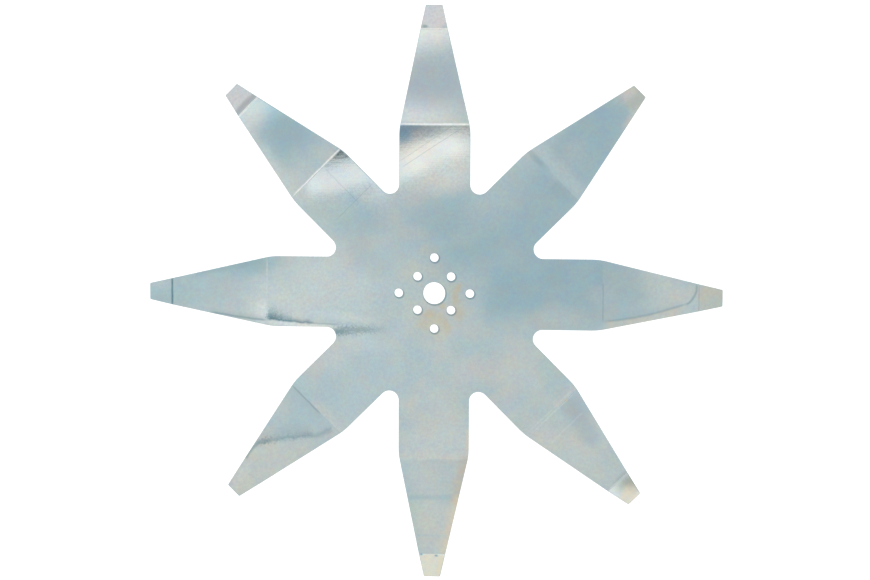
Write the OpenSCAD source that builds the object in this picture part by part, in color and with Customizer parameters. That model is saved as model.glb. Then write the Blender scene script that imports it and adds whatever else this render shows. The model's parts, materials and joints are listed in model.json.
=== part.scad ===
// Rotary mower blade: a flat star cut from one sheet of steel, with every arm bent up and its tip bent level again.
// Millimetres, +Z up. The origin is on the axis of the bore, on the flat underside of the hub.
// One arm lies along +X, and the tips stand above the hub on its +Z side.

/* [Sheet] */
// Size of the star from tip to opposite tip
blade_d = 360; // [340:1:440]
// Thickness of the sheet
sheet_t = 2; // [1:0.1:4]
// Radius on the inside of every bend
bend_r = 6; // [2:0.5:12]

/* [Arms] */
// Number of arms
arm_count = 8; // [6:1:9]
// Width of an arm between its notch and its shoulder
arm_w = 44.7; // [38:0.1:50]
// Width of an arm at its tip
tip_w = 10.3; // [6:0.1:20]
// Length over which an arm narrows, from shoulder to tip
taper_len = 76.4; // [66:0.2:90]
// Radius that eases each shoulder
shoulder_r = 40; // [10:1:80]
// Radius of the notch between two arms
notch_r = 6; // [3:0.1:9]

/* [Bends] */
// Distance from the shoulder out to the first bend
first_bend_gap = 2.4; // [1:0.1:10]
// Distance from the second bend out to the tip
tip_len = 15; // [10:0.5:30]
// Angle that an arm rises between its two bends
rise_angle = 8; // [2:0.5:15]

/* [Hub] */
// Bore of the hub
bore_d = 14; // [10:0.1:18]
// Diameter of the bolt holes
hole_d = 5.5; // [3:0.1:6.5]
// Pitch circle of the outer bolt holes, which lie on the X and Y axes
outer_pcd = 45; // [42:0.5:56]
// Pitch circle of the inner bolt holes, half way between the outer ones
inner_pcd = 30; // [27:0.5:34]
// Number of holes in each pitch circle
hole_count = 4; // [3:1:4]

/* [Hidden] */
$fn = 96;
tip_x = blade_d / 2;
shoulder_x = tip_x - taper_len;
// half of the angle between two arms
half_gap = 180 / arm_count;
// centre of the notch beside the first arm
notch = (arm_w / 2 + notch_r) * [1 / tan(half_gap), 1];
// angle by which an edge turns at the shoulder, and how far its round reaches on each side of the corner
taper_angle = atan((arm_w - tip_w) / 2 / taper_len);
ease = shoulder_r * tan(taper_angle / 2);
// the little by which rounds overlap the edges that they join
hair = 0.005;
// the bends: the flat of the hub ends at flat_x, the slope is slope_len long, and the level tip starts at level_x
set_back = (bend_r + sheet_t / 2) * tan(rise_angle / 2);
flat_x = shoulder_x + first_bend_gap - set_back;
level_x = tip_x - tip_len + set_back;
slope_len = (level_x - flat_x - (2 * bend_r + sheet_t) * sin(rise_angle)) / cos(rise_angle);
// length of the flat strip by which an arm laps the hub
lap = flat_x / 3;
far = blade_d;

// The half plane on one side of the Y axis
module right_half() {
    translate([0, -far]) square([far, 2 * far]);
}

// Section of the sheet through one bend about the origin, from the Y axis on through an angle
module bend_section(turn) {
    intersection() {
        difference() {
            circle(r = bend_r + sheet_t);
            circle(r = bend_r);
        }
        right_half();
        rotate(turn) mirror([1, 0]) right_half();
    }
}

// Section of one arm along its length: flat lap, bend up, slope, bend back, level tip
module arm_section() {
    translate([flat_x, bend_r + sheet_t]) {
        translate([-lap, -bend_r - sheet_t]) square([lap, sheet_t]);
        bend_section(rise_angle);
        rotate(rise_angle) {
            translate([0, -bend_r - sheet_t]) square([slope_len, sheet_t]);
            translate([slope_len, -2 * bend_r - sheet_t]) {
                bend_section(-rise_angle);
                rotate(-rise_angle) translate([0, bend_r]) square([tip_x - level_x, sheet_t]);
            }
        }
    }
}

// The sheet after bending, before the gaps are cut: a flat disc with a bent strip for every arm
module bent_sheet() {
    cylinder(h = sheet_t, r = flat_x - lap / 2);
    for (k = [0 : arm_count - 1])
        rotate(k * 360 / arm_count) rotate([90, 0, 0])
            linear_extrude(height = arm_w + 4, center = true) arm_section();
}

// Plan of the corner that the round of a shoulder takes off one arm
module shoulder_plan() {
    difference() {
        translate([shoulder_x - ease, arm_w / 2 - ease]) square([2 * ease, 2 * ease]);
        translate([shoulder_x - ease, arm_w / 2 - shoulder_r]) circle(r = shoulder_r + hair);
    }
}

// A point beside the first arm, mirrored to the near side of the next
function across(p) = [
    p[0] * cos(2 * half_gap) + p[1] * sin(2 * half_gap),
    p[0] * sin(2 * half_gap) - p[1] * cos(2 * half_gap)
];

// The gap between the first arm and the next: round of the notch, straight edges, rounds of the shoulders, tapers
module gap() {
    edge = [
        [notch[0], arm_w / 2], [shoulder_x, arm_w / 2],
        [tip_x + 2, tip_w / 2 - 2 * tan(taper_angle)], [tip_x + 2, arm_w]
    ];
    translate([0, 0, -1]) linear_extrude(height = far) {
        translate(notch) circle(r = notch_r + hair);
        polygon(concat(edge, [for (k = [1 : len(edge)]) across(edge[len(edge) - k])]));
        shoulder_plan();
        rotate(2 * half_gap) mirror([0, 1]) shoulder_plan();
    }
}

// Bolt holes on one pitch circle
module bolt_holes(pcd, start) {
    for (k = [0 : hole_count - 1])
        rotate(start + k * 360 / hole_count) translate([pcd / 2, 0, -1]) cylinder(h = sheet_t + 2, d = hole_d);
}

// The blade
module blade() {
    color([0.66, 0.73, 0.76]) difference() {
        bent_sheet();
        for (k = [0 : arm_count - 1])
            rotate(k * 360 / arm_count) gap();
        translate([0, 0, -1]) cylinder(h = sheet_t + 2, d = bore_d);
        bolt_holes(outer_pcd, 0);
        bolt_holes(inner_pcd, 180 / hole_count);
    }
}

blade();
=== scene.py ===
# %% [markdown]
# # A star-shaped rotary mower blade
#
# This lesson dresses one piece of bent sheet steel: an eight-armed mower blade with a bright zinc plating.
# The exact solid comes from the CAD model and fixes every size. Blender adds what a solid can't show: the
# small round on every cut edge, the slight waviness of rolled sheet, and a plating that is cloudy and
# stained.

# %% Load the exact model as the frame
import json
import math
import bpy
import numpy as np
from mathutils import Matrix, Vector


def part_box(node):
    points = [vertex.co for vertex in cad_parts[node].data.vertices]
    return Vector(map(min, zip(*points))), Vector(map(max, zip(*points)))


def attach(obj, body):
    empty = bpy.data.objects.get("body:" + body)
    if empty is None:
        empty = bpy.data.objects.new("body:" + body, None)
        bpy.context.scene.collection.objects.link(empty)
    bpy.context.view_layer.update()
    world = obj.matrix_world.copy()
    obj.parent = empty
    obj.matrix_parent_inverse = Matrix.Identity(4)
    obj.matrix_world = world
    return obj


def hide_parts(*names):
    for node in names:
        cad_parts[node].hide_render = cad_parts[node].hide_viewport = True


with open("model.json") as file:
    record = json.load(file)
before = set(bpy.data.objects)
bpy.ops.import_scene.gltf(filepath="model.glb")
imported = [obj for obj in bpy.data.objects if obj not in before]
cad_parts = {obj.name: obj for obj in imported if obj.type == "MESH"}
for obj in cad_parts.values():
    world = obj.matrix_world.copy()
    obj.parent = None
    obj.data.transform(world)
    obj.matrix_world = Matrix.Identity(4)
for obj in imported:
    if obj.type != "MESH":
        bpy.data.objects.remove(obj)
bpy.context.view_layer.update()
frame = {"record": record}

# %% [markdown]
# ## Camera
#
# The camera comes first, because everything after it is judged through it. It hangs 1.27 m above the hub
# and a little to the upper right, so the blade is seen almost in plan. The place was worked out from where
# the eight tips, the edges and the bolt holes fall in the picture, so the lens is a real focal length and
# needs no shift.

# %% Camera above the blade
TILT = (0.100552, -0.085638, -0.00399)
PLACE = (0.10896, 0.13102, 1.27077)
FOCAL_PIXELS = 2030.6
FRAME_WIDTH = 870
SENSOR = 36.0

turn = Matrix.Identity(3)
for angle, axis in zip(TILT, "XYZ"):
    turn = turn @ Matrix.Rotation(angle, 3, axis)
camera = bpy.data.objects.new("camera", bpy.data.cameras.new("camera"))
bpy.context.scene.collection.objects.link(camera)
camera.matrix_world = Matrix.Translation(PLACE) @ turn.transposed().to_4x4()
camera.data.sensor_width = SENSOR
camera.data.lens = FOCAL_PIXELS * SENSOR / FRAME_WIDTH
bpy.context.scene.camera = camera
print("lens", round(camera.data.lens, 2), "mm")

# %% [markdown]
# ## Sizes of the blade
#
# The hub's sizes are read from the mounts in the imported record, and the tip's reach and height from the
# solid's own box, so this mesh can't drift away from the solid. The rest repeats the named sizes of the CAD
# source, in millimetres. Only the last two are new: the small rounds that a real cut edge has.

# %% Sizes in millimetres
mounts = {m["name"]: m["dims"] for m in frame["record"]["mounts"]}
low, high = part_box("blade")
BORE_R = mounts["hub_bore"]["r_mm"]
HOLE_R = mounts["outer_bolts"]["hole_r_mm"]
OUTER_R = mounts["outer_bolts"]["pcd_mm"] / 2
INNER_R = mounts["inner_bolts"]["pcd_mm"] / 2
SHEET = mounts["hub_bore"]["length_mm"]
TIP_X = round(high[0] * 1000, 2)
TIP_Z = high[2] * 1000 - SHEET
ARMS = 8
ARM_W = 44.7
TIP_W = 10.3
TAPER_LEN = 76.4
SHOULDER_R = 40.0
NOTCH_R = 6.0
FIRST_BEND_GAP = 2.4
TIP_LEN = 15.0
RISE = math.radians(8.0)
BEND_R = 6.0
EDGE_R = 0.3
CORNER_R = 0.8
print("tip at", TIP_X, "mm, raised", round(TIP_Z, 2), "mm; bore radius", BORE_R)

# %% [markdown]
# ## Height of the bent sheet
#
# Every arm leaves the flat hub, bends up by eight degrees, climbs straight, and bends level again before its
# tip. A bend is an arc of a circle, so the height along an arm is five short formulas joined end to end:
# level, arc, straight, arc, level. The upper and the lower face share the centres of the arcs and differ in
# radius, which keeps the sheet equally thick all the way.

# %% Height along an arm
SHOULDER_X = TIP_X - TAPER_LEN
SET_BACK = (BEND_R + SHEET / 2) * math.tan(RISE / 2)
FLAT_X = SHOULDER_X + FIRST_BEND_GAP - SET_BACK
LEVEL_X = TIP_X - TIP_LEN + SET_BACK


def bend_height(x, upper):
    """Height of a face at the distance x along an arm: level, arc about a centre above, slope, arc about a
    centre below, level. upper is 1 on the upper face and 0 on the lower one."""
    lift = upper * SHEET
    first = BEND_R + SHEET - lift
    second = BEND_R + lift
    slope_from = FLAT_X + first * math.sin(RISE)
    slope_to = LEVEL_X - second * math.sin(RISE)
    foot = BEND_R + SHEET - first * math.cos(RISE)
    arc_up = BEND_R + SHEET - np.sqrt(np.maximum(first**2 - (x - FLAT_X) ** 2, 0))
    arc_down = TIP_Z - BEND_R + np.sqrt(np.maximum(second**2 - (LEVEL_X - x) ** 2, 0))
    slope = foot + (x - slope_from) * math.tan(RISE)
    return np.select([x < FLAT_X, x < slope_from, x < slope_to, x < LEVEL_X],
                     [lift + 0 * x, arc_up, slope, arc_down], TIP_Z + lift)


print("height at the tip", round(float(bend_height(np.array(TIP_X), 1)), 3))

# %% [markdown]
# ## Waviness
#
# Rolled sheet is never a perfect mirror. A noise could bend the normals instead, but then the outline of a
# reflection and the mesh would disagree. A few long waves in the mesh, a few hundredths of a millimetre high,
# are enough to make reflections swim a little. They are added to both faces, so the thickness stays the same.

# %% Waviness of the sheet
WAVES = np.array([
    # height, waves per metre along X, the same along Y, start
    [0.020, 9.0, 4.0, 0.4],
    [0.014, -6.0, 13.0, 2.1],
    [0.006, 21.0, 17.0, 4.0],
    [0.004, -29.0, 11.0, 1.3],
])
STILL_R = 60.0
FADE_R = 60.0


def waviness(px, py):
    """Sum of four plane sine waves over the plan, in millimetres. It is nothing inside the still radius and
    grows to its full height over the next stretch."""
    cycles = (WAVES[:, 1, None] * px.ravel() + WAVES[:, 2, None] * py.ravel()) * 0.001
    waves = WAVES[:, 0, None] * np.sin(2 * math.pi * cycles + WAVES[:, 3, None])
    return waves.sum(axis=0).reshape(px.shape) * np.clip((np.hypot(px, py) - STILL_R) / FADE_R, 0, 1)


def turned(x, y, arm):
    """Points in the frame of an arm, turned to their place round the hub."""
    a = np.asarray(arm) * 2 * math.pi / ARMS
    return x * np.cos(a) - y * np.sin(a), x * np.sin(a) + y * np.cos(a)


def height(x, y, arm, upper):
    """Height of a face of the blade: bends along the arm, plus the waviness at that place in the plan."""
    px, py = turned(x, y, arm)
    return bend_height(x, upper) + waviness(px, py)


print("waves add at most", WAVES[:, 0].sum(), "mm")

# %% [markdown]
# ## Outline of an arm
#
# The outline is a path with five stretches: a quarter of the notch, the parallel edge, the round of the
# shoulder, the taper and a small round at the tip. For each point the path also carries the direction that
# points out of the metal. With that, the same path serves twice: moved inwards it is the border of the faces,
# and with a rounded section carried along it, it is the cut edge.

# %% Stretches of the outline
HALF = ARM_W / 2
GAP = math.pi / ARMS
TAPER = math.atan((ARM_W - TIP_W) / 2 / TAPER_LEN)
EASE = SHOULDER_R * math.tan(TAPER / 2)
NOTCH = ((HALF + NOTCH_R) / math.tan(GAP), HALF + NOTCH_R)
CORNER = (TIP_X - CORNER_R, TIP_W / 2 + CORNER_R * math.tan(TAPER) - CORNER_R / math.cos(TAPER))


def notch_edge(count):
    """Arc of the notch from the middle of the gap to the straight edge, with its outward direction."""
    a = np.linspace(math.pi + GAP, 1.5 * math.pi, count)
    out = -np.stack([np.cos(a), np.sin(a)], 1)
    return np.array(NOTCH) - NOTCH_R * out, out


def side_edge(x):
    """Straight edge, round of the shoulder and taper at the distances x, with the outward direction."""
    start = SHOULDER_X - EASE
    end = SHOULDER_X + EASE * math.cos(TAPER)
    lean = np.clip(np.arcsin(np.clip((x - start) / SHOULDER_R, 0, 1)), 0, TAPER)
    arc = HALF - SHOULDER_R + SHOULDER_R * np.cos(lean)
    taper = TIP_W / 2 + (TIP_X - x) * math.tan(TAPER)
    y = np.where(x < end, arc, taper)
    return np.stack([x, y], 1), np.stack([np.sin(lean), np.cos(lean)], 1)


def corner_edge(count):
    """Small round from the taper to the blunt end of the tip, with its outward direction."""
    a = np.linspace(math.pi / 2 - TAPER, 0, count)
    out = np.stack([np.cos(a), np.sin(a)], 1)
    return np.array(CORNER) + CORNER_R * out, out


print("an edge turns by", round(math.degrees(TAPER), 2), "degrees at the shoulder")

# %% [markdown]
# Points lie close together where the sheet bends and far apart where it is straight, so the mesh is fine
# exactly where it has to follow a curve.

# %% Outline of half an arm
corner_start = CORNER[0] + CORNER_R * math.sin(TAPER)
stations = np.concatenate([
    np.linspace(NOTCH[0], FLAT_X - 0.15, 26),
    np.linspace(FLAT_X - 0.05, FLAT_X + 1.2, 9),
    np.linspace(FLAT_X + 1.6, LEVEL_X - 1.6, 42),
    np.linspace(LEVEL_X - 1.2, LEVEL_X + 0.05, 9),
    np.linspace(LEVEL_X + 0.4, corner_start, 9)[:-1],
])
notch_path, notch_out = notch_edge(9)
side_path, side_out = side_edge(stations)
corner_path, corner_out = corner_edge(6)
arm_path = np.concatenate([side_path, corner_path])
arm_out = np.concatenate([side_out, corner_out])
edge_path = np.concatenate([notch_path[:-1], arm_path])
edge_out = np.concatenate([notch_out[:-1], arm_out])
print("outline of half an arm:", len(edge_path), "points")

# %% [markdown]
# ## Faces as grids
#
# The star has three kinds of patch, and each is a plain grid. An arm is a grid of rows across it. The web
# between hub and arm is a grid of rays from a circle to the arm's first row and to the notches. The middle
# has one bolt hole in every eighth, so each eighth is a grid of rings that grow from the hole's circle to the
# border of that eighth. Neighbouring patches use the same points along their borders, so they join without a
# gap. One flat polygon with holes would be shorter to write, but it couldn't bend.

# %% Points of the arm and the web, in the frame of one arm
MIDDLE_R = 32.0
ACROSS = np.linspace(-1, 1, 25)
WEB_ROWS = 12

inset_arm = arm_path - EDGE_R * arm_out
inset_notch = notch_path - EDGE_R * notch_out
arm_grid = np.stack([
    np.repeat(inset_arm[:, :1], len(ACROSS), 1),
    inset_arm[:, 1:] * ACROSS[None, :],
], -1)

flip = np.array([1, -1])
web_rim = np.concatenate([inset_notch[:-1] * flip, arm_grid[0], inset_notch[-2::-1]])
rays = np.arctan2(web_rim[:, 1], web_rim[:, 0])
ring = MIDDLE_R * np.stack([np.cos(rays), np.sin(rays)], 1)
share = np.linspace(0, 1, WEB_ROWS)[:, None, None]
web_grid = ring * (1 - share) + web_rim * share
print("arm grid", arm_grid.shape[:2], "web grid", web_grid.shape[:2])

# %% [markdown]
# The rings round a bolt hole lie closer together near the hole, where the circle has to stay round. A power a
# little above one does that: it makes the first steps smaller than the last.

# %% Points of one eighth of the middle
SIDE_POINTS = 12
BORE_POINTS = 13
HOLE_RINGS = 9
RING_GROWTH = 1.3


def middle_grid(hole_x):
    """Rings from a bolt hole's circle out to the border of one eighth of the middle: outer arc, side, arc of
    the bore, other side."""
    radii = np.linspace(MIDDLE_R, BORE_R + EDGE_R, SIDE_POINTS)[1:, None]
    side = radii * np.array([math.cos(GAP), math.sin(GAP)])
    back = np.linspace(GAP, -GAP, BORE_POINTS)[1:]
    bore = (BORE_R + EDGE_R) * np.stack([np.cos(back), np.sin(back)], 1)
    border = np.concatenate([ring, side, bore, (side * flip)[-2::-1], ring[:1]])
    away = border - np.array([hole_x, 0])
    away /= np.linalg.norm(away, axis=1, keepdims=True)
    hole = np.array([hole_x, 0]) + (HOLE_R + EDGE_R) * away
    part = np.linspace(0, 1, HOLE_RINGS)[:, None, None] ** RING_GROWTH
    return hole * (1 - part) + border * part


hole_places = [OUTER_R if arm % 2 == 0 else INNER_R for arm in range(ARMS)]
print("middle grid", middle_grid(OUTER_R).shape[:2])

# %% [markdown]
# A grid becomes faces by numbering: each cell joins four neighbours. The upper face is wound one way and the
# lower face the other way, so both point out of the metal. The normals are worked out from the height formula
# instead of being averaged from the faces, which keeps reflections clean right up to the edges.

# %% Turn grids into vertices, normals and faces
STEP = 0.01
chunks = []


def cells(rows, columns, reverse):
    """Numbers of the four corners of every cell of a grid."""
    i = np.arange(rows * columns).reshape(rows, columns)
    quad = np.stack([i[:-1, :-1], i[1:, :-1], i[1:, 1:], i[:-1, 1:]], -1).reshape(-1, 4)
    return quad[:, ::-1] if reverse else quad


def keep(points, normals, upper, cut, reverse):
    """Stores one grid with its normals, with 1 on the upper side and 0 on the lower, and with 1 on the cut
    wall."""
    quad = cells(*upper.shape, reverse)
    chunks.append((points.reshape(-1, 3), normals.reshape(-1, 3), upper.ravel(), cut.ravel(), quad))


def face_normal(x, y, arm, upper):
    """Direction square to a face, from small steps of the height formula along and across the arm."""
    along = (height(x + STEP, y, arm, upper) - height(x - STEP, y, arm, upper)) / (2 * STEP)
    aside = (height(x, y + STEP, arm, upper) - height(x, y - STEP, arm, upper)) / (2 * STEP)
    nx, ny = turned(-along, -aside, arm)
    n = np.stack([nx, ny, np.ones_like(nx)], -1)
    n /= np.linalg.norm(n, axis=-1, keepdims=True)
    return n if upper else -n


def add_face(grid, arm):
    """The upper and the lower face of one patch, turned to its arm."""
    x, y = grid[..., 0], grid[..., 1]
    px, py = turned(x, y, arm)
    for upper in (1, 0):
        points = np.stack([px, py, height(x, y, arm, upper)], -1)
        normals = face_normal(x, y, arm, upper)
        keep(points, normals, np.full(x.shape, float(upper)), np.zeros(x.shape), not upper)


for arm in range(ARMS):
    add_face(arm_grid, arm)
    add_face(web_grid, arm)
    add_face(middle_grid(hole_places[arm]), arm)
print("faces of the sheet:", sum(len(c[-1]) for c in chunks), "cells")

# %% [markdown]
# ## Cut edges
#
# A cut and plated edge isn't knife sharp: it has a round of a few tenths of a millimetre, and that round is
# what catches the light as a thin bright line. A Bevel modifier could round it, but it would spoil the exact
# normals. So its section is drawn as a profile: it starts level with the upper face, turns down through a
# quarter circle, runs down the cut, and turns under. That profile is carried along every outline.

# %% A rounded section carried along a path
turn_steps = np.linspace(0, math.pi / 2, 4)
both_turns = np.concatenate([turn_steps, turn_steps[::-1]])
section_in = (1 - np.sin(both_turns)) * EDGE_R
section_drop = (1 - np.cos(both_turns)) * EDGE_R
section_up = np.cos(both_turns) * np.repeat([1, -1], len(turn_steps))
section_out = np.sin(both_turns)


def add_edge(path, out, arm):
    """The cut edge along a path with the metal on its left: points moved in from the path by the section, at
    heights measured down from the upper face or up from the lower one."""
    spot = path[:, None, :] - out[:, None, :] * section_in[None, :, None]
    x, y = spot[..., 0], spot[..., 1]
    half = len(turn_steps)
    top = height(x[:, :half], y[:, :half], arm, 1) - section_drop[:half]
    bottom = height(x[:, half:], y[:, half:], arm, 0) + section_drop[half:]
    z = np.concatenate([top, bottom], 1)
    px, py = turned(x, y, arm)
    ox, oy = turned(out[:, :1], out[:, 1:], arm)
    normals = np.stack([ox * section_out, oy * section_out, np.ones_like(ox) * section_up], -1)
    upper = np.broadcast_to(np.repeat([1.0, 0.0], half), z.shape)
    cut = np.broadcast_to(section_out, z.shape)
    keep(np.stack([px, py, z], -1), normals, upper, cut, True)


end_path = np.stack([np.full(len(ACROSS), TIP_X), inset_arm[-1, 1] * ACROSS], 1)
end_out = np.tile([1.0, 0.0], (len(ACROSS), 1))
for arm in range(ARMS):
    add_edge(edge_path * flip, edge_out * flip, arm)
    add_edge(end_path, end_out, arm)
    add_edge(edge_path[::-1], edge_out[::-1], arm)
print("with the outer edges:", sum(len(c[-1]) for c in chunks), "cells")

# %% [markdown]
# The bore and the bolt holes are cut in the same way, so they get the same rounded section. Their outward
# direction points to the middle of the hole, because there the metal ends.

# %% Edges of the bore and the bolt holes
for arm in range(ARMS):
    middle = np.array([hole_places[arm], 0])
    rim = middle_grid(hole_places[arm])[0]
    to_middle = (middle - rim) / (HOLE_R + EDGE_R)
    add_edge((rim + EDGE_R * to_middle)[::-1], to_middle[::-1], arm)
    a = np.linspace(GAP, -GAP, BORE_POINTS)
    to_axis = -np.stack([np.cos(a), np.sin(a)], 1)
    add_edge(-BORE_R * to_axis, to_axis, arm)
print("with all cut edges:", sum(len(c[-1]) for c in chunks), "cells")

# %% [markdown]
# The grids share their border points, so points that coincide are merged into one. After that the blade is a
# single closed skin. The edge count proves it: in a closed skin every edge belongs to exactly two faces.

# %% Merge the grids
starts = np.cumsum([0] + [len(c[0]) for c in chunks[:-1]])
points, normals, upper, cut = (np.concatenate([c[k] for c in chunks]) for k in range(4))
quads = np.concatenate([c[-1] + start for c, start in zip(chunks, starts)])
_, first, merged = np.unique(np.round(points, 4), axis=0, return_index=True, return_inverse=True)
quads = merged.ravel()[quads]
sides = np.sort(np.stack([quads, np.roll(quads, -1, 1)], -1).reshape(-1, 2), axis=1)
_, uses = np.unique(sides, axis=0, return_counts=True)
print("points", len(first), "cells", len(quads), "edges used other than twice:", int((uses != 2).sum()))

# %% [markdown]
# The mesh also keeps two numbers at every point, for the finish to read later: whether the point belongs to
# the upper side, and how squarely it lies on a cut wall.

# %% The blade
mesh = bpy.data.meshes.new("plated_blade")
mesh.from_pydata((points[first] * 0.001).tolist(), [], quads.tolist())
mesh.shade_smooth()
mesh.normals_split_custom_set_from_vertices(normals[first].tolist())
for name, values in (("upper_side", upper), ("cut_edge", cut)):
    kept = values[first].astype(np.float32)
    mesh.attributes.new(name, "FLOAT", "POINT").data.foreach_set("value", kept)
blade = bpy.data.objects.new("plated_blade", mesh)
bpy.context.scene.collection.objects.link(blade)
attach(blade, "root")
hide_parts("blade")
print("blade of", len(mesh.polygons), "faces")

# %% [markdown]
# ## Floor
#
# The blade lies on a light table: a white sheet that glows by itself. The glow takes away the soft shadow
# under the raised arms and fills the holes with white, so the ground stays almost pure white, as in a
# catalogue picture. A white floor under strong lamps would do the same, but the lamps would show in the
# metal.

# %% Light table under the blade
FLOOR_Z = -0.0003
FLOOR_HALF = 6.0
corners = np.array([[-1, -1], [1, -1], [1, 1], [-1, 1]]) * FLOOR_HALF
floor_mesh = bpy.data.meshes.new("light_table")
floor_mesh.from_pydata(np.column_stack([corners, np.full(4, FLOOR_Z)]).tolist(), [], [(0, 1, 2, 3)])
floor = bpy.data.objects.new("light_table", floor_mesh)
bpy.context.scene.collection.objects.link(floor)

table_white = bpy.data.materials.new("light_table_white")
table_white.use_nodes = True
glow = table_white.node_tree.nodes["Principled BSDF"]
glow.inputs["Base Color"].default_value = (0.3, 0.3, 0.3, 1)
glow.inputs["Roughness"].default_value = 0.9
glow.inputs["Specular IOR Level"].default_value = 0.0
glow.inputs["Emission Color"].default_value = (1, 1, 1, 1)
glow.inputs["Emission Strength"].default_value = 1.0
floor_mesh.materials.append(table_white)
print("floor", 2 * FLOOR_HALF, "m wide, just under the hub")

# %% [markdown]
# ## Short words for nodes
#
# A shader is a graph of small sums. A few helpers keep the graph readable as text: they make a node and fill
# its inputs, do arithmetic on numbers and vectors, turn a value into a soft step, and mix colours. An input
# may be a number or the output of another node, so sums can be written inside one another.

# %% Helpers for building shader nodes
def fill(tree, socket, value):
    """Joins another node's output to a socket, or sets the socket to a plain value."""
    if isinstance(value, bpy.types.NodeSocket):
        tree.links.new(value, socket)
    elif value is not None:
        socket.default_value = value


def node(tree, kind, values=(), **settings):
    """A new node of a kind, with its settings and with its inputs filled in order."""
    made = tree.nodes.new("ShaderNode" + kind)
    for name, setting in settings.items():
        setattr(made, name, setting)
    sockets = [socket for socket in made.inputs if socket.enabled]
    for socket, value in zip(sockets, values):
        fill(tree, socket, value)
    return made


def maths(tree, operation, *values):
    """Arithmetic on numbers."""
    return node(tree, "Math", values, operation=operation).outputs[0]


def vectors(tree, operation, *values, out=0):
    """Arithmetic on vectors. Output 1 holds the number that a dot product or a length gives."""
    return node(tree, "VectorMath", values, operation=operation).outputs[out]


def soft_step(tree, value, start, end, first=0.0, last=1.0):
    """A smooth step: first up to start, last from end on. It stays between the two by itself, so the node's
    own clamp is off, which keeps a big graph small enough for the renderer."""
    settings = {"interpolation_type": "SMOOTHSTEP", "clamp": False}
    return node(tree, "MapRange", (value, start, end, first, last), **settings).outputs[0]


def blend(tree, share, first, second, mode="MIX"):
    """Mixes two colours by a share from 0 to 1."""
    made = node(tree, "Mix", data_type="RGBA", blend_type=mode, clamp_factor=True)
    fill(tree, made.inputs["Factor"], share)
    fill(tree, made.inputs["A"], first)
    fill(tree, made.inputs["B"], second)
    return made.outputs["Result"]


def shade(red, green, blue):
    """A colour picked on a screen, 0 to 255, as the light values that a shader works in."""
    screen = np.array([red, green, blue]) / 255
    light = np.where(screen <= 0.04045, screen / 12.92, ((screen + 0.055) / 1.055) ** 2.4)
    return (*light.tolist(), 1.0)


print("middle grey on a screen is", round(shade(128, 128, 128)[0], 3), "in light")

# %% [markdown]
# ## Light
#
# Bright metal shows its surroundings more than itself, so the light is the surroundings. A big white dome
# gives the even grey-blue of the plating. Towards the horizon it darkens, which gives the blade form when it
# is seen from the side. A few long soft bars cross the dome nearly overhead, some lighter and some darker
# than it. The mirror image of the first four is the slanting white band with a dark corner beside it, near
# the first bend of the top and the upper left arm. The last one shows towards the ends of the same arms,
# because their slope turns them to it. Lamps could draw such bands as well, but a lamp can only add light.
#
# A bar is placed by slope: how far a direction leans along X and along Y for each metre that it rises.

# %% Dome with soft bars
HORIZON = 0.62
SOFT_FROM = 0.3
END_FADE = 1.4
BARS = [
    # slope to its middle, angle, half length, half width, gain
    ((-0.0935, -0.0360, 0.0), 28, 0.022, 0.0110, 0.46),
    ((-0.0885, -0.0170, 0.0), 15, 0.028, 0.0118, -0.42),
    ((-0.1330, -0.0442, 0.0), 14, 0.015, 0.0096, 0.48),
    ((-0.1316, -0.0312, 0.0), 14, 0.012, 0.0068, -0.88),
    ((-0.0410, -0.2216, 0.0), 23, 0.085, 0.0300, 0.42),
]

world = bpy.data.worlds.new("white_dome")
bpy.context.scene.world = world
world.use_nodes = True
dome = world.node_tree
direction = node(dome, "TexCoord").outputs["Generated"]
up = node(dome, "SeparateXYZ", (direction,)).outputs["Z"]
slope = vectors(dome, "SCALE", direction, maths(dome, "DIVIDE", 1.0, maths(dome, "MAXIMUM", up, 0.05)))


def bar(middle, angle, half_length, half_width):
    """A soft bar in the dome: 1 along its middle, falling to 0 at its half width and a little beyond its
    ends."""
    run = (math.cos(angle), math.sin(angle), 0)
    aside = (-math.sin(angle), math.cos(angle), 0)
    offset = vectors(dome, "SUBTRACT", slope, middle)
    gone = maths(dome, "ABSOLUTE", vectors(dome, "DOT_PRODUCT", offset, run, out=1))
    off = maths(dome, "ABSOLUTE", vectors(dome, "DOT_PRODUCT", offset, aside, out=1))
    ends = soft_step(dome, gone, half_length, half_length * END_FADE, 1.0, 0.0)
    return maths(dome, "MULTIPLY", soft_step(dome, off, half_width * SOFT_FROM, half_width, 1.0, 0.0), ends)


strength = soft_step(dome, up, 0.15, 0.75, HORIZON, 1.0)
for middle, angle, half_length, half_width, gain in BARS:
    here = bar(middle, math.radians(angle), half_length, half_width)
    strength = maths(dome, "MULTIPLY_ADD", here, gain, strength)
backdrop = dome.nodes["Background"]
fill(dome, backdrop.inputs["Strength"], strength)
backdrop.inputs["Color"].default_value = (1, 0.995, 0.985, 1)
bpy.context.scene.view_settings.view_transform = "Standard"
print("dome with", len(dome.nodes), "nodes")
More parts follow.
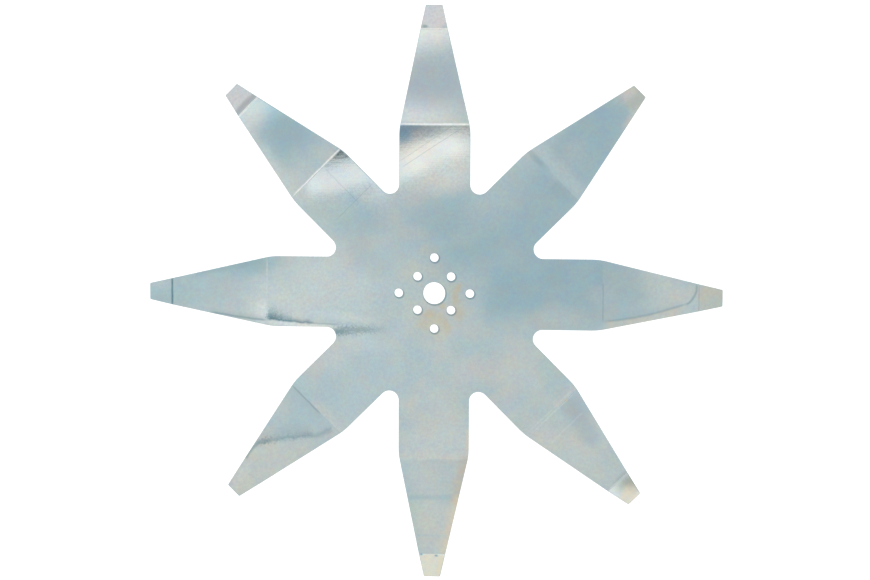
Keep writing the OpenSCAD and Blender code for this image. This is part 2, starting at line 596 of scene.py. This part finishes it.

# %% [markdown]
# ## Groups for marks
#
# The marks on the plating are of two kinds: clouds with a soft border, and lines. The lines are tide marks
# that liquid left as it dried, scratches, and the painted highlights and painted shade at the bends. They
# could be painted on an image, but a picture has a fixed sharpness and has to be stored. Here each kind is a
# node group with named inputs, built once and placed for every mark. Both are worked out in millimetres in
# the frame of one
# arm: along it from the hub's centre, and across it.

# %% Group for a soft patch
def new_group(name, inputs, outputs):
    """An empty node group with its sockets, and the nodes that stand for them."""
    group = bpy.data.node_groups.new(name, "ShaderNodeTree")
    kinds = {"v": "NodeSocketVector", "f": "NodeSocketFloat"}
    for socket, kind in inputs:
        group.interface.new_socket(socket, in_out="INPUT", socket_type=kinds[kind])
    for socket, kind in outputs:
        group.interface.new_socket(socket, in_out="OUTPUT", socket_type=kinds[kind])
    return group, group.nodes.new("NodeGroupInput").outputs, group.nodes.new("NodeGroupOutput").inputs


patch_group, given, result = new_group(
    "soft_patch",
    [("Place", "v"), ("Centre", "v"), ("Size", "v"), ("Turn", "f"), ("Edge", "f")],
    [("Mask", "f")],
)
shifted = vectors(patch_group, "SUBTRACT", given["Place"], given["Centre"])
turned_back = node(patch_group, "VectorRotate", (shifted,), rotation_type="Z_AXIS")
fill(patch_group, turned_back.inputs["Angle"], maths(patch_group, "MULTIPLY", given["Turn"], -1.0))
scaled = vectors(patch_group, "DIVIDE", turned_back.outputs[0], given["Size"])
reach = vectors(patch_group, "LENGTH", scaled, out=1)
inner = maths(patch_group, "SUBTRACT", 1.0, given["Edge"])
outer = maths(patch_group, "ADD", 1.0, given["Edge"])
fill(patch_group, result["Mask"], soft_step(patch_group, reach, inner, outer, 1.0, 0.0))
print("soft_patch:", len(patch_group.nodes), "nodes")

# %% [markdown]
# A tide line runs from a start to an end and may bow to its left. Its first mask is the thin line itself. Its
# second is the wash beside it, which is strongest at the line and fades out sideways. A scratch is the same
# thing with no bow and no wash. The same group draws the painted highlights and painted shade at the bends:
# straight lines across an arm, some with a wash beside them.

# %% Group for a tide line, also used for painted light at the bends
line_group, given, result = new_group(
    "tide_line",
    [("Place", "v"), ("Start", "v"), ("End", "v"), ("Bow", "f"), ("Width", "f"), ("Wash", "f")],
    [("Line", "f"), ("Side", "f")],
)
chord = vectors(line_group, "SUBTRACT", given["End"], given["Start"])
length = vectors(line_group, "LENGTH", chord, out=1)
ahead = vectors(line_group, "NORMALIZE", chord)
left = vectors(line_group, "CROSS_PRODUCT", (0, 0, 1), ahead)
spot = vectors(line_group, "SUBTRACT", given["Place"], given["Start"])
gone = maths(line_group, "DIVIDE", vectors(line_group, "DOT_PRODUCT", spot, ahead, out=1), length)
hump = maths(line_group, "MULTIPLY", gone, maths(line_group, "SUBTRACT", 1.0, gone))
hump = maths(line_group, "MULTIPLY", maths(line_group, "MULTIPLY", hump, 4.0), given["Bow"])
off = maths(line_group, "SUBTRACT", vectors(line_group, "DOT_PRODUCT", spot, left, out=1), hump)
begun = soft_step(line_group, gone, -0.04, 0.1)
both_ends = maths(line_group, "MULTIPLY", begun, soft_step(line_group, gone, 0.9, 1.04, 1.0, 0.0))
thin = soft_step(line_group, maths(line_group, "ABSOLUTE", off), 0.0, given["Width"], 1.0, 0.0)
fill(line_group, result["Line"], maths(line_group, "MULTIPLY", thin, both_ends))
wash = soft_step(line_group, maths(line_group, "DIVIDE", off, given["Wash"]), 0.0, 1.0, 1.0, 0.0)
wash_side = maths(line_group, "MULTIPLY", off, maths(line_group, "SIGN", given["Wash"]))
wash = maths(line_group, "MULTIPLY", wash, maths(line_group, "GREATER_THAN", wash_side, 0.0))
fill(line_group, result["Side"], maths(line_group, "MULTIPLY", wash, both_ends))
print("tide_line:", len(line_group.nodes), "nodes")

# %% [markdown]
# ## Zinc plating
#
# The bare plating is a cloudy blue-grey metal. The clouds come from noise at two scales: wide ones, a few
# centimetres across, that turn the blue towards cream, and small ones that give a fine mottle. A third noise
# adds a trace of rose and green, the thin-film colours of a passivated zinc layer. Three more noises, called
# stirs, will bend the borders of the marks.

# %% Noises of the plating
plating = bpy.data.materials.new("zinc_plating")
plating.use_nodes = True
tree = plating.node_tree
metal = tree.nodes["Principled BSDF"]
metal.inputs["Metallic"].default_value = 1.0
place = vectors(tree, "SCALE", node(tree, "TexCoord").outputs["Object"], 1000.0)


def noise(place, size, detail=2.0):
    """Noise with blobs of about a size in millimetres: its value and its colour."""
    made = node(tree, "TexNoise", (place,))
    made.inputs["Scale"].default_value = 1.0 / size
    made.inputs["Detail"].default_value = detail
    return made.outputs


def stirring(size, detail):
    """A noise as a push in any direction: its three colours, less a half."""
    return vectors(tree, "SUBTRACT", noise(place, size, detail)["Color"], (0.5, 0.5, 0.5))


wide = noise(place, 40.0, 1.5)["Fac"]
small = noise(place, 1.7)["Fac"]
film = noise(vectors(tree, "ADD", place, (300, 0, 0)), 20.0, 1.0)["Fac"]
stir = stirring(26.0, 2.0)
fine_stir = stirring(5.0, 2.0)
speck_stir = stirring(1.3, 1.0)
print("noises made of", len(tree.nodes), "nodes")

# %% [markdown]
# The colours are laid over one another from wide to faint, as a plater's bath would leave them: first the
# blue and its pale clouds, then the trace of rose where the film is thick and of green where it is thin.

# %% Clouds of the plating
BLUE = shade(164, 187, 195)
PALE = shade(186, 198, 199)
ROSE = shade(194, 192, 190)
GREEN = shade(164, 190, 188)

bare = blend(tree, soft_step(tree, wide, 0.3, 0.7), BLUE, PALE)
bare = blend(tree, soft_step(tree, film, 0.52, 0.75, 0.0, 0.6), bare, ROSE)
bare = blend(tree, soft_step(tree, film, 0.48, 0.28, 0.0, 0.45), bare, GREEN)
print("with the clouds", len(tree.nodes), "nodes")

# %% [markdown]
# ## Marks on the upper face
#
# The plating has wide drifts of tone. The photographed blade has also been handled and wetted: it has rusty
# halos round the bolt holes and tide marks. Some marks are painted light: the thin lines at the bends, the
# white band with its dark corner on the top arm, the tone of the top and upper left tips, and the dark
# crescents at the holes. The marks are tables, one row each, so that the whole finish can be read and changed
# in one place. A row names the arm (0 points along X, and they count anticlockwise), the places in
# millimetres along and across that arm, and a colour with its strength. Its border says how the stirs bend
# it: loosely and widely, roughly, hardly at all, or broken up into specks.

# %% Colours and borders of the marks
DEEP = shade(141, 173, 183)
SKY = shade(150, 176, 186)
AQUA = shade(166, 190, 198)
NAVY = shade(84, 121, 135)
SLATE = shade(113, 142, 152)
ASH = shade(160, 164, 167)
WHITE = shade(234, 237, 236)
MILK = shade(200, 211, 211)
PEARL = shade(203, 203, 196)
BEIGE = shade(192, 198, 194)
CREAM = shade(202, 200, 187)
IVORY = shade(187, 186, 172)
TAN = shade(196, 180, 144)
PEACH = shade(215, 200, 174)
BUFF = shade(188, 182, 166)
OLIVE = shade(140, 142, 130)
KHAKI = shade(181, 182, 173)
HAZE = shade(166, 178, 187)
DUSK = shade(136, 170, 192)
VIOLET = shade(206, 208, 212)

LOOSE, ROUGH, NEAT, SPECKLED = range(4)
STIR_SIZES = (16.0, 4.0, 0.6, 7.0)
print("borders shift by up to half of", STIR_SIZES, "mm")

# %% [markdown]
# Patches are ellipses. Their edge says how soft they are: at 0 the border is sharp, and at 1 the patch fades
# from its very middle. Where patches overlap, a later row lies over an earlier one.

# %% Patches
PATCHES = [
    # arm, along, across, half length, half width, turn, edge, border, colour, strength
    # wide drifts of tone over the hub
    (0, 45, 30, 70, 50, 30, 0.8, LOOSE, SKY, 0.62),
    (0, -45, -30, 70, 60, 30, 0.8, LOOSE, MILK, 0.30),
    (0, -8, 44, 26, 12, 0, 0.7, LOOSE, SKY, 0.50),
    (0, 10, 22, 16, 8, 20, 0.7, LOOSE, DEEP, 0.50),
    (0, 32, 32, 16, 10, 40, 0.7, LOOSE, DEEP, 0.45),
    (0, 54, 0, 20, 20, 0, 0.7, LOOSE, DEEP, 0.65),
    (0, -46, 42, 18, 9, 30, 0.7, LOOSE, DEEP, 0.30),
    (0, -45, 30, 11, 8, 60, 0.7, LOOSE, SKY, 0.25),
    (0, 12, 53, 18, 12, 0, 0.8, LOOSE, SKY, 0.45),
    (0, 33, 48, 14, 9, 0, 0.8, LOOSE, SKY, 0.35),
    (0, -36, 20, 14, 9, 0, 0.8, LOOSE, SKY, 0.30),
    (0, -29, 46, 9, 7, 0, 0.8, LOOSE, ROSE, 0.30),
    (0, -15, 38, 9, 6, 0, 0.7, LOOSE, ROSE, 0.35),
    (0, -16, 62, 9, 7, 0, 0.8, LOOSE, ROSE, 0.45),
    (0, 20, 42, 14, 9, 0, 0.8, LOOSE, DEEP, 0.30),
    (0, 31, -48, 12, 8, 0, 0.7, LOOSE, ROSE, 0.40),
    (0, 78, -17, 24, 7, 0, 0.8, ROUGH, CREAM, 0.36),
    (0, 32, 38, 22, 14, 0, 0.8, LOOSE, SLATE, 0.08),
    (0, -22, -40, 14, 10, 0, 0.8, LOOSE, AQUA, 0.22),
    # rusty halo round the bolt holes
    (0, 1, -6, 25, 24, 0, 0.7, LOOSE, CREAM, 0.26),
    (0, -2, -15, 9, 5, 0, 0.8, ROUGH, TAN, 0.16),
    (0, 14, -5, 3.5, 11, 10, 0.8, ROUGH, TAN, 0.22),
    (0, 1, -21, 10, 7, 0, 0.8, LOOSE, TAN, 0.18),
    (0, -3, 27, 6, 3.5, 0, 0.8, ROUGH, TAN, 0.20),
    (0, -7, 16, 11, 6, 20, 0.8, ROUGH, CREAM, 0.30),
    (0, 15.5, 3.5, 2.0, 3.0, -20, 0.9, ROUGH, TAN, 0.55),
    (0, 13.8, -3, 1.8, 3.4, 10, 0.9, ROUGH, TAN, 0.45),
    (0, 5.5, -7.5, 2.2, 1.6, 0, 0.6, ROUGH, TAN, 0.45),
    (0, -3.3, -13.5, 3.6, 2.4, 0, 0.9, ROUGH, TAN, 0.45),
    (0, 4, -15.5, 3.4, 2.8, -30, 0.9, ROUGH, TAN, 0.22),
    (0, 8, -21, 2.0, 4.0, 14, 0.9, ROUGH, TAN, 0.42),
    (0, -7, -20, 3, 4, 30, 0.9, ROUGH, TAN, 0.16),
    (0, 16, -13, 3, 4, 0, 0.9, ROUGH, TAN, 0.30),
    # run-off from the notch on the lower left
    (0, -58, -15.5, 18, 2.6, -6, 0.8, ROUGH, MILK, 0.70),
    (0, -48, -34, 15, 6, 0, 0.8, LOOSE, MILK, 0.55),
    (0, -60, -24.6, 4.5, 2.6, 0, 0.8, SPECKLED, NAVY, 0.70),
    (0, -53, -24.2, 9, 2.2, 0, 0.9, SPECKLED, NAVY, 0.45),
    (0, -45, -23.6, 11, 1.7, 0, 0.9, SPECKLED, SLATE, 0.45),
    # right arm
    (0, 86, 3, 34, 24, 0, 0.7, LOOSE, SKY, 0.80),
    (0, 96, 13, 14, 11, 0, 0.8, LOOSE, SKY, 0.45),
    (0, 116, 5, 16, 16, 0, 0.7, LOOSE, SKY, 0.50),
    (0, 128, -12, 20, 3.5, 13, 0.8, NEAT, SKY, 0.50),
    (0, 148, 4, 18, 7, -10, 0.8, LOOSE, BEIGE, 0.55),
    (0, 173, 0, 8, 9, 0, 0.3, ROUGH, IVORY, 0.60),
    (0, 106, 0, 8, 7, 0, 0.7, NEAT, ROSE, 0.26),
    (0, 116, 10, 9, 7, 0, 0.8, NEAT, KHAKI, 0.28),
    (0, 102, -13, 6, 6, 0, 0.8, NEAT, SKY, 0.30),
    (0, 80, -13, 14, 7, 0, 0.8, LOOSE, PEARL, 0.24),
    (0, 75, 14, 9, 7, 0, 0.8, LOOSE, SLATE, 0.12),
    # upper right arm
    (1, 82, 12, 38, 16, 0, 0.7, LOOSE, PALE, 0.45),
    (1, 88, -6, 34, 20, 0, 0.7, LOOSE, SKY, 0.70),
    (1, 138, 2, 36, 18, 0, 0.6, LOOSE, SKY, 0.90),
    (1, 110, -2, 5, 20, 0, 0.9, NEAT, MILK, 0.34),
    (1, 124, 0, 10, 8, 0, 0.8, LOOSE, ROSE, 0.25),
    # painted shade along the first bend
    (1, 105.2, 14, 1.8, 7, 0, 0.9, NEAT, SLATE, 0.35),
    (1, 175, -1, 7.5, 9, 0, 0.35, ROUGH, KHAKI, 0.75),
    (1, 165, -8.2, 8, 2.6, 13, 0.7, ROUGH, CREAM, 0.50),
    (1, 175, 4.5, 6, 3, -13, 0.7, ROUGH, CREAM, 0.45),
    (1, 168, 4.5, 2.4, 2, 0, 0.7, ROUGH, ASH, 0.60),
    (1, 172, 4, 6, 3, -13, 0.8, NEAT, VIOLET, 0.32),
    # top arm
    # painted reflection: the white band near the first bend
    (2, 109, 10, 15, 18, 0, 0.9, NEAT, WHITE, 0.60),
    (2, 87, -2, 21, 30, 0, 0.5, LOOSE, PEARL, 0.85),
    (2, 78, -9, 12, 15, 0, 0.8, LOOSE, MILK, 0.60),
    (2, 87, 0, 6, 8, 0, 0.8, NEAT, ASH, 0.19),
    # painted reflection: the dark blue corner beside the white band
    (2, 102, 4, 4, 17, 6, 0.8, NEAT, DUSK, 0.30),
    (2, 100.5, 20.5, 6, 6, 0, 0.7, NEAT, DUSK, 0.85),
    (2, 104.5, 13, 2.6, 5.5, 0, 0.7, NEAT, DUSK, 0.60),
    (2, 133, 2, 15, 24, 0, 0.8, NEAT, HAZE, 0.85),
    # painted reflection: brighter just before the outer bend, violet on the level tip
    (2, 162, 0, 8, 14, 0, 0.9, NEAT, PEARL, 0.55),
    (2, 173, 0, 7.6, 9, 0, 0.15, NEAT, VIOLET, 0.90),
    (2, 166.8, 5.5, 1.0, 1.5, 0, 0.7, NEAT, SLATE, 0.60),
    # upper left arm
    (3, 104, -21, 3, 4.5, 0, 0.8, NEAT, SLATE, 0.50),
    (3, 138, -6, 28, 15, 0, 0.7, ROUGH, SKY, 0.85),
    (3, 128, 16, 28, 4, -12, 0.8, ROUGH, MILK, 0.45),
    (3, 114, -4, 10, 14, 0, 0.8, LOOSE, MILK, 0.30),
    (3, 78, -16, 14, 6, 0, 0.8, LOOSE, ROSE, 0.45),
    (3, 74, -15, 9, 7, 0, 0.8, LOOSE, MILK, 0.33),
    (3, 92, -1, 10, 7, 0, 0.8, NEAT, HAZE, 0.17),
    (3, 98, -2, 8, 14, 0, 0.8, NEAT, ROSE, 0.36),
    (3, 148, -7, 9, 5, 10, 0.8, ROUGH, DEEP, 0.40),
    (3, 159, 0, 7, 9, 0, 0.8, NEAT, PEARL, 0.35),
    # painted reflection: violet on the level tip; painted shade just past the outer bend
    (3, 173, 0, 7.6, 9, 0, 0.15, NEAT, VIOLET, 0.75),
    (3, 167.4, 0, 1.8, 9, 0, 0.7, NEAT, ASH, 0.75),
    # left arm
    (4, 82, 2, 38, 20, 0, 0.7, LOOSE, MILK, 0.60),
    (4, 85, 21, 22, 2.4, -4, 0.6, NEAT, WHITE, 0.45),
    (4, 112, 12, 7, 7, 0, 0.8, ROUGH, MILK, 0.60),
    (4, 109.5, 13, 3.5, 6, 0, 0.8, NEAT, WHITE, 0.34),
    (4, 96, -13, 12, 8, 0, 0.8, LOOSE, AQUA, 0.30),
    (4, 112, -17, 14, 5, 10, 0.8, ROUGH, DEEP, 0.50),
    (4, 122, -13, 12, 5, 10, 0.8, ROUGH, DEEP, 0.42),
    (4, 145, -4, 28, 10, 4, 0.8, LOOSE, AQUA, 0.60),
    (4, 173, 0, 7.6, 9, 0, 0.2, NEAT, AQUA, 0.75),
    (4, 173, -5, 7, 3, 0, 0.8, NEAT, VIOLET, 0.30),
    (4, 173, 5, 7, 3, 0, 0.8, NEAT, SKY, 0.24),
    # lower left arm
    (5, 85, 0, 32, 22, 0, 0.7, LOOSE, AQUA, 0.40),
    (5, 116, 0, 12, 14, 0, 0.8, LOOSE, AQUA, 0.50),
    (5, 148, 6, 28, 10, -13, 0.6, ROUGH, BEIGE, 0.80),
    (5, 144, -9.2, 5, 1.5, -25, 0.8, SPECKLED, SLATE, 0.50),
    (5, 173, 0, 8, 9, 0, 0.3, ROUGH, BEIGE, 0.80),
    (5, 162, -7, 14, 3.5, 13, 0.8, NEAT, CREAM, 0.40),
    (5, 74, -19, 10, 6, 0, 0.8, ROUGH, CREAM, 0.35),
    (5, 75, -14, 9, 8, 0, 0.8, LOOSE, VIOLET, 0.30),
    (5, 167, -5, 11, 3.5, 13, 0.8, NEAT, VIOLET, 0.32),
    # bottom arm
    (6, 86, 0, 34, 24, 0, 0.7, LOOSE, BEIGE, 0.50),
    (6, 97, 0, 10, 24, 0, 0.7, NEAT, MILK, 0.30),
    (6, 116, 3, 14, 18, 0, 0.7, ROUGH, ROSE, 0.25),
    (6, 146, -1, 16, 10, 0, 0.6, ROUGH, BEIGE, 0.80),
    (6, 173, 0, 7.6, 14, 0, 0.08, NEAT, IVORY, 0.90),
    (6, 172, 5, 7, 1.4, -13, 0.6, NEAT, TAN, 0.35),
    (6, 166.4, 2.8, 0.7, 1.1, 0, 0.6, NEAT, SLATE, 0.80),
    (6, 165.9, -6.8, 0.6, 0.8, 0, 0.6, NEAT, SLATE, 0.80),
    # lower right arm
    (7, 85, 0, 34, 24, 0, 0.7, LOOSE, BEIGE, 0.30),
    (7, 114, 12, 14, 8, -10, 0.8, LOOSE, SKY, 0.50),
    (7, 140, -2, 30, 14, 0, 0.7, LOOSE, BEIGE, 0.45),
    (7, 134, 8, 9, 5, -13, 0.8, LOOSE, SKY, 0.45),
    (7, 112, -14, 9, 6, 0, 0.8, LOOSE, ROSE, 0.40),
    (7, 114, -13, 10, 6, 0, 0.8, NEAT, PEARL, 0.42),
    (7, 116, 12, 11, 5, -10, 0.8, NEAT, ASH, 0.22),
    (7, 170.4, 6, 5.2, 8, -18, 0.8, NEAT, OLIVE, 0.90),
    (7, 176.4, -1.5, 4.8, 8, 12, 0.6, ROUGH, BUFF, 0.80),
    (7, 179.6, 1, 1.6, 6, 0, 0.8, NEAT, PEACH, 0.30),
    (7, 173, 5, 7, 3, -13, 0.8, NEAT, SLATE, 0.14),
    (7, 106.3, 12, 0.9, 0.9, 0, 0.6, NEAT, TAN, 0.70),
]
print(len(PATCHES), "patches")

# %% [markdown]
# Lines are tide marks, bends and scratches. The lines at the bends are painted light in place of the
# reflection
# in the curve of each bend: painted highlights on some arms and painted shade on others. The wash has a sign:
# above zero it lies to the left of the way from start to end, and below zero to the right.

# %% Lines
LINES = [
    # arm, start, end, bow, width, wash, border, colour, line strength, wash strength
    # right arm: hooked tide mark, painted shade at the bends
    (0, (107, -16.5), (158.5, -3.6), -1.7, 1.2, -9, NEAT, CREAM, 0, 0.55),
    (0, (107, -16.5), (158.5, -3.6), -1.7, 1.4, -9, NEAT, SLATE, 0.40, 0),
    (0, (157.5, -4.5), (164, 8.5), -2.0, 1.3, -5, NEAT, SLATE, 0.50, 0),
    (0, (106.2, 8), (106.2, -17), 0, 0.8, 1, NEAT, SLATE, 0.35, 0),
    (0, (105.8, 21), (105.8, 5), 0, 1.0, -7, NEAT, SLATE, 0, 0.13),
    (0, (165.4, 9), (165.4, -9), 0, 0.7, 1, NEAT, ASH, 0.55, 0),
    # upper right arm: painted shade beside the bend
    (1, (105.8, -3), (105.8, -22), 0, 1.0, -16, NEAT, SLATE, 0, 0.16),
    # top arm: painted highlights at the bends, scratches along the sheen
    (2, (106.4, 23), (106.4, -23), 0, 1.0, 1, NEAT, WHITE, 0.90, 0),
    (2, (165.2, 10), (165.2, -10), 0, 0.9, 1, NEAT, WHITE, 0.80, 0),
    (2, (79, 21), (104, -17), 0, 0.5, 1, NEAT, SLATE, 0.35, 0),
    (2, (83, 22), (106, -12), 0, 0.5, 1, NEAT, SLATE, 0.25, 0),
    # upper left arm: painted highlights at the bends, scratches
    (3, (106.4, 20), (106.4, -23), 0, 0.9, 1, NEAT, WHITE, 0.80, 0),
    (3, (164.9, 10), (164.9, -10), 0, 0.9, 1, NEAT, WHITE, 0.70, 0),
    (3, (76.3, 10), (76.3, -21), 0, 0.5, 1, NEAT, SLATE, 0.30, 0),
    (3, (74, -6.2), (105, -6.2), 0, 0.5, 1, NEAT, SLATE, 0.28, 0),
    # left arm: streak along the edge, painted highlight at the first bend and painted shade at the outer one
    (4, (101, 17.4), (107, 16.9), 0.1, 1.0, -11, SPECKLED, NAVY, 0, 0.32),
    (4, (96, 17.9), (107, 17.0), 0.1, 1.0, -8.5, SPECKLED, NAVY, 0, 0.28),
    (4, (91, 18.5), (107, 17.2), 0.2, 1.0, -6.5, SPECKLED, NAVY, 0, 0.30),
    (4, (84, 19.3), (107, 17.4), 0.2, 1.0, -4.5, ROUGH, NAVY, 0, 0.36),
    (4, (76, 20.0), (107, 17.5), 0.3, 1.4, -3, ROUGH, NAVY, 0.30, 0.45),
    (4, (60, 20.8), (106, 17.6), 0.4, 1.0, -3, NEAT, SLATE, 0.40, 0.10),
    (4, (106.6, 18.6), (142, 13.2), 0.3, 1.2, -4, NEAT, SLATE, 0.55, 0.20),
    (4, (106.4, 17), (106.4, -21), 0, 0.9, 1, NEAT, MILK, 0.55, 0),
    (4, (165.7, 9), (165.7, -9), 0, 1.1, 1, NEAT, NAVY, 0.85, 0),
    (4, (107, -21.5), (152, -11.5), 0, 1.0, 5, NEAT, DEEP, 0, 0.50),
    # lower left arm: tide mark, painted shade and painted highlight at the bend
    (5, (107, 15.8), (122, 8.6), 1.8, 2.8, -6, ROUGH, SLATE, 0.32, 0.15),
    (5, (119.5, 10), (146.5, -9.8), -0.6, 3.0, -10, SPECKLED, SLATE, 0.28, 0.25),
    (5, (120, 9.6), (146.5, -9.6), -0.6, 1.6, -8, ROUGH, SLATE, 0.30, 0),
    (5, (145, -10.2), (160, -9.0), -1.0, 1.8, -3, NEAT, SLATE, 0.50, 0.2),
    (5, (106.5, 4), (106.5, -22), 0, 0.8, 1, NEAT, SLATE, 0.50, 0),
    (5, (105.8, 23), (105.8, -6), 0, 1.0, -10, NEAT, PEARL, 0, 0.45),
    (5, (105.8, 5), (105.8, -22), 0, 1.0, 9, NEAT, ASH, 0, 0.22),
    # bottom arm: run on one edge, lines across, painted highlight and painted shade at the bend
    (6, (86, 22.4), (104.5, 22.4), 0, 1.0, -3.5, NEAT, PEACH, 0, 0.45),
    (6, (103, 22.4), (136, 15.1), 0, 1.0, -9, NEAT, BUFF, 0, 0.75),
    (6, (128, 16.9), (167, 8.2), 0, 1.0, -8, NEAT, PEACH, 0, 0.60),
    (6, (130, 14), (130, -16), 0, 2.8, 1, NEAT, DEEP, 0.34, 0),
    (6, (154, 10), (154, -10), 0, 1.4, 1, NEAT, AQUA, 0.38, 0),
    (6, (106.3, 20), (106.3, -21), 0, 0.9, 1, NEAT, MILK, 0.30, 0),
    (6, (105.8, 23), (105.8, -23), 0, 1.0, -10, NEAT, PEARL, 0, 0.50),
    (6, (105.8, 21), (105.8, -6), 0, 1.0, 7, NEAT, ASH, 0, 0.16),
    # lower right arm: painted highlights at the bends, a line across
    (7, (104.4, 20), (104.4, -20), 0, 0.8, 1, NEAT, MILK, 0.35, 0),
    (7, (106.6, 20), (106.6, -20), 0, 0.8, 1, NEAT, MILK, 0.35, 0),
    (7, (119, 15), (119, -15), 0, 0.8, 1, NEAT, MILK, 0.30, 0),
    (7, (105.8, 22), (105.8, 4), 0, 1.0, -7, NEAT, PEARL, 0, 0.50),
    (7, (165, 9), (165, -9), 0, 0.8, 1, NEAT, MILK, 0.60, 0),
]
print(len(LINES), "lines")

# %% [markdown]
# Up close no two square millimetres of plating are quite alike. Two effects give that. A fine grain makes
# each mark patchy. A mottle makes the whole surface a little lighter and darker, warmer and cooler, greener
# and rosier, by a few parts in a hundred, and each of these has its own noise.

# %% Grain and mottle
grain = soft_step(tree, small, 0.25, 0.75, 0.86, 1.12)


def swing(shift, size, detail, most):
    """A factor that swings round 1 by at most a given part, from a noise with blobs of a size."""
    value = noise(vectors(tree, "ADD", place, shift), size, detail)["Fac"]
    return soft_step(tree, value, 0.3, 0.7, 1.0 - most, 1.0 + most)


warm = maths(tree, "MULTIPLY", swing((0, 500, 0), 2.4, 2.0, 0.022), swing((0, 900, 0), 9.0, 2.0, 0.035))
cool = maths(tree, "SUBTRACT", 2.0, warm)
green = maths(tree, "MULTIPLY", swing((700, 0, 0), 2.4, 2.0, 0.032), swing((900, 0, 0), 8.0, 1.0, 0.018))
light = soft_step(tree, small, 0.3, 0.7, 0.975, 1.025)
parts = [maths(tree, "MULTIPLY", light, part) for part in (warm, green, cool)]
mottle = node(tree, "CombineColor", parts).outputs[0]
print("with grain and mottle", len(tree.nodes), "nodes")

# %% [markdown]
# Now the tables become nodes, one arm after another. For every arm the place on the blade is turned into
# millimetres along and across that arm, and stirred in four ways, one for each kind of border.

# %% Paint the marks arm by arm
def paint(colour, mask, tint, strength):
    """The colour so far, with a tint laid over it where the mask is, a little patchily."""
    share = maths(tree, "MULTIPLY", maths(tree, "MULTIPLY", mask, strength), grain)
    return blend(tree, share, colour, tint)


def arm_places(arm):
    """Millimetres along and across an arm, once for each border: the place in plan plus a stir times its
    size."""
    spun = node(tree, "VectorRotate", (place,), rotation_type="Z_AXIS")
    spun.inputs["Angle"].default_value = -arm * 2 * math.pi / ARMS
    flat = vectors(tree, "MULTIPLY", spun.outputs[0], (1, 1, 0))
    pushes = zip((stir, fine_stir, fine_stir, speck_stir), STIR_SIZES)
    return [vectors(tree, "MULTIPLY_ADD", push, (size, size, 0), flat) for push, size in pushes]


def add_patch(colour, places, row):
    """The colour so far, with one patch of the table over it."""
    _, along, across, long, broad, lean, edge, border, tint, strength = row
    values = (places[border], (along, across, 0), (long, broad, 1), math.radians(lean), edge)
    made = node(tree, "Group", values, node_tree=patch_group)
    return paint(colour, made.outputs["Mask"], tint, strength)


def add_line(colour, places, row):
    """The colour so far, with one line of the table over it: first its wash, then the line itself."""
    _, start, end, bow, width, wash, border, tint, line_strength, wash_strength = row
    values = (places[border], (*start, 0), (*end, 0), bow, width, wash)
    made = node(tree, "Group", values, node_tree=line_group)
    if wash_strength:
        colour = paint(colour, made.outputs["Side"], tint, wash_strength)
    if line_strength:
        colour = paint(colour, made.outputs["Line"], tint, line_strength)
    return colour


marked = bare
for arm in range(ARMS):
    places = arm_places(arm)
    for row in [patch for patch in PATCHES if patch[0] == arm]:
        marked = add_patch(marked, places, row)
    for row in [line for line in LINES if line[0] == arm]:
        marked = add_line(marked, places, row)
print("with all marks", len(tree.nodes), "nodes")

# %% [markdown]
# Every hole has a thin dark rim on its lower right, and so has the bore. This rim is painted shade. A soft
# patch, a little larger than the hole and shifted that way, leaves just such a crescent, because the hole
# itself has no surface.

# %% Dark rims of the holes
RIM_SHIFT = 0.45
RIM_REACH = 0.5
RIM_FADE = 0.4
RIM_STRENGTH = 0.55
holes = [(hole_places[arm], arm * 2 * math.pi / ARMS, HOLE_R) for arm in range(ARMS)]
# painted shade: a dark crescent at the lower right of every hole and of the bore
for out, angle, radius in holes + [(0.0, 0.0, BORE_R)]:
    centre = (out * math.cos(angle) + RIM_SHIFT, out * math.sin(angle) - RIM_SHIFT, 0)
    size = radius + RIM_REACH
    values = (place, centre, (size, size, 1000), 0.0, RIM_FADE / size)
    made = node(tree, "Group", values, node_tree=patch_group)
    marked = paint(marked, made.outputs["Mask"], NAVY, RIM_STRENGTH)
print(len(holes) + 1, "rims")

# %% [markdown]
# ## Finish
#
# The marks belong to the upper side. The lower side has the bare plating. A cut wall is duller and darker
# than the rolled faces. Both borders follow the numbers that the mesh keeps at its points, so they lie
# exactly on the edges.

# %% Colour of the whole blade
EDGE_DARK = 0.7
upper_side = node(tree, "Attribute", attribute_name="upper_side").outputs["Fac"]
finish = blend(tree, upper_side, bare, marked)
cut_edge = soft_step(tree, node(tree, "Attribute", attribute_name="cut_edge").outputs["Fac"], 0.75, 1.0)
finish = blend(tree, maths(tree, "MULTIPLY", cut_edge, EDGE_DARK), finish, SLATE)
fill(tree, metal.inputs["Base Color"], blend(tree, 1.0, finish, mottle, "MULTIPLY"))
print("colour made of", len(tree.nodes), "nodes")

# %% [markdown]
# The plating is nearly a mirror, so its roughness is small and varies a little with the grain. The relief is
# tiny as well: about a thousandth of a millimetre of mottle, and fine polishing lines that run across the
# blade. The lines are a noise that a Mapping node turns and stretches.

# %% Gloss and fine relief
ROUGH_LEAST = 0.022
ROUGH_MOST = 0.042
ROUGH_CUT = 0.35
POLISH_TURN = math.radians(35)
POLISH_SHARE = 0.6
RELIEF = 0.0000012

rough = soft_step(tree, small, 0.25, 0.75, ROUGH_LEAST, ROUGH_MOST)
fill(tree, metal.inputs["Roughness"], maths(tree, "MULTIPLY_ADD", cut_edge, ROUGH_CUT, rough))
stretched = node(tree, "Mapping", (place,))
stretched.inputs["Rotation"].default_value = (0, 0, POLISH_TURN)
stretched.inputs["Scale"].default_value = (0.02, 1.6, 0.02)
polish = noise(stretched.outputs[0], 1.0)["Fac"]
bump = node(tree, "Bump")
bump.inputs["Strength"].default_value = 1.0
bump.inputs["Distance"].default_value = RELIEF
fill(tree, bump.inputs["Height"], maths(tree, "MULTIPLY_ADD", polish, POLISH_SHARE, small))
fill(tree, metal.inputs["Normal"], bump.outputs["Normal"])
mesh.materials.append(plating)
print("plating:", len(tree.nodes), "nodes")
